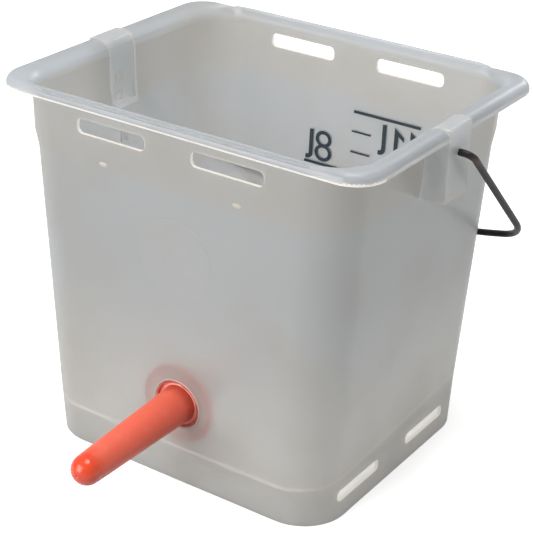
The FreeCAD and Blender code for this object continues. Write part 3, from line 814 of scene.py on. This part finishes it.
class BUCKET_OT_litre_print(bpy.types.Operator):
    """Print the litre scale on the back wall"""

    bl_idname = "bucket.litre_print"
    bl_label = "Litre print"

    def execute(self, context):
        settings = context.scene.bucket_print
        pieces = []
        for litre in range(NUMBERED[0], TOP_LITRE + 1):
            pieces.append(self.line(settings, litre))
        for litre in NUMBERED:
            z = litre_height(litre)
            pieces.append(self.number(settings, str(litre), DIGIT_X, z + DIGIT_LIFT))
            pieces.append(self.letter(settings, LETTER_X, z + LETTER_LIFT))
        below = litre_height(TOP_LITRE) - TOP_DROP
        for x in TOP_ONES_X:
            pieces.append(self.one(settings, x, below))
        pieces.append(self.letter(settings, TOP_LETTER_X, below + LETTER_DROP))
        print_piece = join("litre_print", pieces)
        self.show_inside(settings, print_piece)
        finish_piece(print_piece, printing_ink(settings))
        return {"FINISHED"}

    @staticmethod
    def show_inside(settings, print_piece):
        """Lay the ink on the inner face as well, so that it is sharp and dark from both sides."""
        pick(print_piece)
        bpy.ops.object.duplicate()
        copy = bpy.context.object
        inward = wall_place(0, 0, 1).to_3x3() @ Vector((0, 0, -1))
        through = WALL + 2 * settings.ink_rise - settings.ink_thickness
        put(copy, Matrix.Translation(inward * through))
        join("litre_print", (print_piece, copy))

    @staticmethod
    def printed_at(settings, x, z):
        """Place for ink that is sunk into the back wall and stands out by its rise."""
        sunk = settings.ink_rise - settings.ink_thickness / 2
        return wall_place(x, z, 1) @ Matrix.Translation((0, 0, sunk))

    def line(self, settings, litre):
        """The printed line of one litre."""
        (start, end), height = SHORT_LINE, settings.thin_line
        if litre in NUMBERED or litre == TOP_LITRE:
            start, end = TOP_LINE if litre == TOP_LITRE else LONG_LINE
            height = settings.thick_line
        piece = bar(end - start, height, settings.ink_thickness)
        put(piece, self.printed_at(settings, (start + end) / 2, litre_height(litre)))
        return piece

    def number(self, settings, digit, x, z):
        """One printed digit, standing on a height, its strokes a little thinner than the font's."""
        piece = written(digit, settings.cap_height, settings.ink_thickness, -0.3 * MM)
        put(piece, self.printed_at(settings, x, z))
        return piece

    def stem(self, settings, low, high):
        """The upright stroke of a one or an l, between two heights, left in edit mode."""
        deselect()
        bpy.ops.mesh.primitive_plane_add(size=1)
        piece = bpy.context.object
        piece.scale = (settings.stroke, high - low, 1)
        piece.location = (0, (low + high) / 2, 0)
        bpy.ops.object.transform_apply(location=True, rotation=True, scale=True)
        bpy.ops.object.mode_set(mode="EDIT")
        bpy.ops.mesh.select_mode(type="EDGE")
        bpy.ops.mesh.select_all(action="DESELECT")
        return piece

    def inked(self, settings, piece, x, z):
        """Give a flat stroke its thickness and print it."""
        bpy.ops.object.mode_set(mode="OBJECT")
        recalculate(piece)
        modify(piece, "SOLIDIFY", thickness=settings.ink_thickness, offset=0)
        recalculate(piece)
        put(piece, self.printed_at(settings, x, z))
        return piece

    def letter(self, settings, x, z):
        """The printed letter l, with its hooked foot."""
        inner, hook = 1.4 * MM, 1.6 * MM
        outer = inner + settings.stroke
        piece = self.stem(settings, outer, settings.cap_height - LETTER_DROP)
        mesh = bmesh.from_edit_mesh(piece.data)
        for edge in mesh.edges:
            edge.select_set(all(abs(v.co.y - outer) < 0.01 * MM for v in edge.verts))
        bmesh.update_edit_mesh(piece.data)
        bpy.ops.mesh.spin(steps=8, angle=math.radians(-90),
                          center=(inner + settings.stroke / 2, outer, 0), axis=(0, 0, 1))
        bpy.ops.mesh.extrude_edges_move(TRANSFORM_OT_translate={"value": (hook, 0, 0)})
        return self.inked(settings, piece, x, z)

    def one(self, settings, x, z):
        """The printed figure one, with its flag."""
        flag = Vector((-5.2, -4.1, 0)) * MM
        top = settings.cap_height
        peak = settings.stroke * flag.y / flag.x
        piece = self.stem(settings, 0, top)
        bpy.ops.mesh.select_all(action="SELECT")
        bpy.ops.mesh.bisect(plane_co=(0, top - peak - settings.stroke, 0), plane_no=(0, 1, 0))
        bpy.ops.mesh.select_all(action="DESELECT")
        mesh = bmesh.from_edit_mesh(piece.data)
        for vertex in mesh.verts:
            if vertex.co.x < 0 and vertex.co.y > top - 0.1 * MM:
                vertex.co.y -= peak
        for edge in mesh.edges:
            middle = (edge.verts[0].co + edge.verts[1].co) / 2
            high = middle.y > top - peak - 0.9 * settings.stroke
            edge.select_set(high and middle.x < -0.4 * settings.stroke)
        bmesh.update_edit_mesh(piece.data)
        bpy.ops.mesh.extrude_edges_move(TRANSFORM_OT_translate={"value": flag})
        return self.inked(settings, piece, x, z)


class BUCKET_OT_teat(bpy.types.Operator):
    """Turn the rubber teat with its collar and round tip"""

    bl_idname = "bucket.teat"
    bl_label = "Teat"

    def execute(self, context):
        settings = context.scene.bucket_teat
        shank, tip, far = settings.shank_radius, settings.tip_radius, settings.tip_distance
        front = -WALL - 0.1 * MM
        back = front - 4.2 * MM
        neck, bore, inner, hole = 19.3 * MM, 9.6 * MM, 7.8 * MM, 0.25 * MM
        outline = [(bore, back), (24 * MM, back), (30.6 * MM, back), (31 * MM, back + 0.5 * MM),
                   (31 * MM, front - 0.4 * MM), (30.6 * MM, front), (26.4 * MM, front),
                   (26 * MM, front - 0.7 * MM), (neck, front - 0.7 * MM), (neck, front),
                   (neck, -1.4 * MM), (neck - 0.4 * MM, -0.7 * MM), (neck - 1.0 * MM, -0.4 * MM),
                   (neck - 1.8 * MM, -0.6 * MM), (neck - 2.3 * MM, -1.6 * MM),
                   (neck - 2.7 * MM, -3.2 * MM), (neck - 3.4 * MM, -4.2 * MM),
                   (neck - 4.1 * MM, -3.4 * MM), (shank + 0.5 * MM, -1.4 * MM),
                   (shank + 0.1 * MM, 1.2 * MM)]
        steps = 10
        for step in range(1, steps + 1):
            share = step / steps
            outline.append((shank + (tip - shank) * share, 1.5 * MM + (far - 1.5 * MM) * share))
        dome = 9
        for step in range(1, dome + 1):
            turn = math.radians(82 * step / dome)
            outline.append((tip * math.cos(turn), far + tip * math.sin(turn)))
        outline += [(hole, far + tip), (hole, far + inner - 0.2 * MM), (4.5 * MM, far + 6 * MM),
                    (inner, far), (bore, 14 * MM)]
        teat = turned("teat_rubber", outline, settings.segments)
        close_ends(teat)
        modify(teat, "SUBSURF", levels=1, render_levels=1)
        self.roughen_collar(teat)
        lean = math.atan(LEAN_Y)
        turn = Matrix.Rotation(math.radians(90) + lean, 4, "X")
        put(teat, Matrix.Translation((TEAT_X, -wall_y(TEAT_Z), TEAT_Z)) @ turn)
        smooth(teat, 50)
        finish_piece(teat, red_rubber(settings), replaced=("teat",))
        return {"FINISHED"}

    @staticmethod
    def roughen_collar(teat):
        """Push the rubber of the collar in and out a little, as a hand-pulled teat sits."""
        group = teat.vertex_groups.new(name="collar")
        for vertex in teat.data.vertices:
            radius = Vector(vertex.co[:2]).length
            if -4.5 * MM < vertex.co.z < 0.5 * MM and 14.6 * MM < radius < 19.0 * MM:
                group.add([vertex.index], 1.0, "REPLACE")
        texture = bpy.data.textures.new("collar_waves", "CLOUDS")
        texture.noise_scale = 7 * MM
        modify(teat, "DISPLACE", texture=texture, vertex_group="collar", strength=2.6 * MM,
               mid_level=0.5, direction="Z")
        bpy.data.textures.remove(texture)


class BUCKET_OT_hardware(bpy.types.Operator):
    """Give the bail, the valve and the ball their materials"""

    bl_idname = "bucket.hardware"
    bl_label = "Bail and valve"

    def execute(self, context):
        white = plain_plastic("white_valve_polypropylene", "#E6E6E2", 0.38, 0.5)
        finishes = {
            "bail_handle": blackened_steel(),
            "valve_body": white,
            "valve_cap": white,
            "valve_ball": plain_plastic("polished_ball_polypropylene", "#F1F0EC", 0.15, 0.25),
            "valve_seal": plain_plastic("nitrile_seal_rubber", "#1B1B1B", 0.55, 0.7),
        }
        for name, material in finishes.items():
            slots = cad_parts[name].data.materials
            for number in range(len(slots)):
                slots[number] = material
        return {"FINISHED"}


class BUCKET_OT_stage(bpy.types.Operator):
    """Set up the floor, the light and the camera"""

    bl_idname = "bucket.stage"
    bl_label = "Stage"

    def execute(self, context):
        settings = context.scene.bucket_stage
        context.scene.view_settings.view_transform = "Standard"
        self.floor(settings)
        self.world(context)
        self.light("key_light", place=(0.15, -0.2, 2.1), size=0.9, power=20)
        self.light("fill_light", place=(-0.7, -1.9, 0.8), size=1.4, power=32)
        self.light("back_light", place=(0.0, 1.7, 0.95), size=0.7, power=5)
        self.camera(context, settings)
        return {"FINISHED"}

    @staticmethod
    def floor(settings):
        """A wide pale floor under the foot. It throws little light back at the undersides."""
        deselect()
        bpy.ops.mesh.primitive_plane_add(size=12, location=(0, 0, 0))
        floor = named("floor")
        bpy.ops.object.transform_apply(location=True, rotation=True, scale=True)
        material, tree, shader = new_material("pale_floor")
        path = add(tree, "LightPath")
        glow = add(tree, "MapRange", {"Value": path.outputs["Is Camera Ray"],
                                                "To Min": 0.1, "To Max": 0.4})
        bounced = add(tree, "Math", {0: path.outputs["Is Diffuse Ray"],
                                               1: path.outputs["Is Transmission Ray"]},
                      operation="SUBTRACT", use_clamp=True)
        tint = add(tree, "Mix", {0: bounced.outputs[0],
                                           6: opaque(settings.floor_colour),
                                           7: opaque(settings.bounce_colour)},
                   data_type="RGBA")
        shade(tree, shader, {"Base Color": tint.outputs[2], "Roughness": 0.9,
                             "Specular IOR Level": 0.1, "Emission Color": [1.0, 1.0, 1.0],
                             "Emission Strength": glow.outputs[0]})
        floor.data.materials.append(material)

    @staticmethod
    def world(context):
        """An even white sky."""
        world = bpy.data.worlds.new("studio")
        context.scene.world = world
        world.use_nodes = True
        background = world.node_tree.nodes["Background"]
        background.inputs["Color"].default_value = (1, 1, 1, 1)
        background.inputs["Strength"].default_value = 0.58

    @staticmethod
    def light(name, place, size, power):
        """A large soft box that points at the tub's middle."""
        deselect()
        bpy.ops.object.light_add(type="AREA", location=place)
        lamp = named(name)
        lamp.data.size = size
        lamp.data.energy = power
        aim = Vector((0, 0, RIM_HEIGHT / 2)) - Vector(place)
        lamp.rotation_euler = aim.to_track_quat("-Z", "Y").to_euler()

    @staticmethod
    def camera(context, settings):
        """A camera that stands off the tub's front right edge."""
        azimuth, elevation = settings.azimuth, settings.elevation
        back = Vector((math.sin(azimuth) * math.cos(elevation),
                       -math.cos(azimuth) * math.cos(elevation), math.sin(elevation)))
        right = (-back).cross(Vector((0, 0, 1))).normalized()
        up = back.cross(right)
        roll = settings.roll
        turned_right = right * math.cos(roll) + up * math.sin(roll)
        turned_up = up * math.cos(roll) - right * math.sin(roll)
        deselect()
        bpy.ops.object.camera_add()
        camera = named("camera")
        axes = Matrix((turned_right, turned_up, back)).transposed()
        stand = CAMERA_TARGET + back * settings.distance
        camera.matrix_world = Matrix.Translation(stand) @ axes.to_4x4()
        camera.data.lens = settings.lens
        context.scene.camera = camera


class BUCKET_PT_panel(bpy.types.Panel):
    """The bucket's pieces, in the order that they are made."""

    bl_idname = "BUCKET_PT_panel"
    bl_label = "Calf Feeding Bucket"
    bl_space_type = "VIEW_3D"
    bl_region_type = "UI"
    bl_category = "Bucket"

    def draw(self, context):
        for operator in OPERATORS:
            self.layout.operator(operator.bl_idname)
        for group in SETTINGS:
            settings = getattr(context.scene, group)
            for name in settings.bl_rna.properties.keys():
                if name not in ("rna_type", "name"):
                    self.layout.prop(settings, name)


OPERATORS = (BUCKET_OT_stage, BUCKET_OT_tub, BUCKET_OT_moulded_scale, BUCKET_OT_litre_print,
             BUCKET_OT_teat, BUCKET_OT_hardware)
SETTINGS = {"bucket_tub": TubSettings, "bucket_print": PrintSettings,
            "bucket_teat": TeatSettings, "bucket_stage": StageSettings}


def register():
    """Register the settings, the operators and the panel."""
    for name, group in SETTINGS.items():
        bpy.utils.register_class(group)
        setattr(bpy.types.Scene, name, PointerProperty(type=group))
    for operator in OPERATORS:
        bpy.utils.register_class(operator)
    bpy.utils.register_class(BUCKET_PT_panel)


def unregister():
    """Take everything out again."""
    bpy.utils.unregister_class(BUCKET_PT_panel)
    for operator in reversed(OPERATORS):
        bpy.utils.unregister_class(operator)
    for name, group in SETTINGS.items():
        delattr(bpy.types.Scene, name)
        bpy.utils.unregister_class(group)


def main():
    """Build the bucket."""
    register()
    bpy.ops.bucket.stage()
    bpy.ops.bucket.tub()
    bpy.ops.bucket.moulded_scale()
    bpy.ops.bucket.litre_print()
    bpy.ops.bucket.teat()
    bpy.ops.bucket.hardware()


if __name__ == "__main__":
    main()
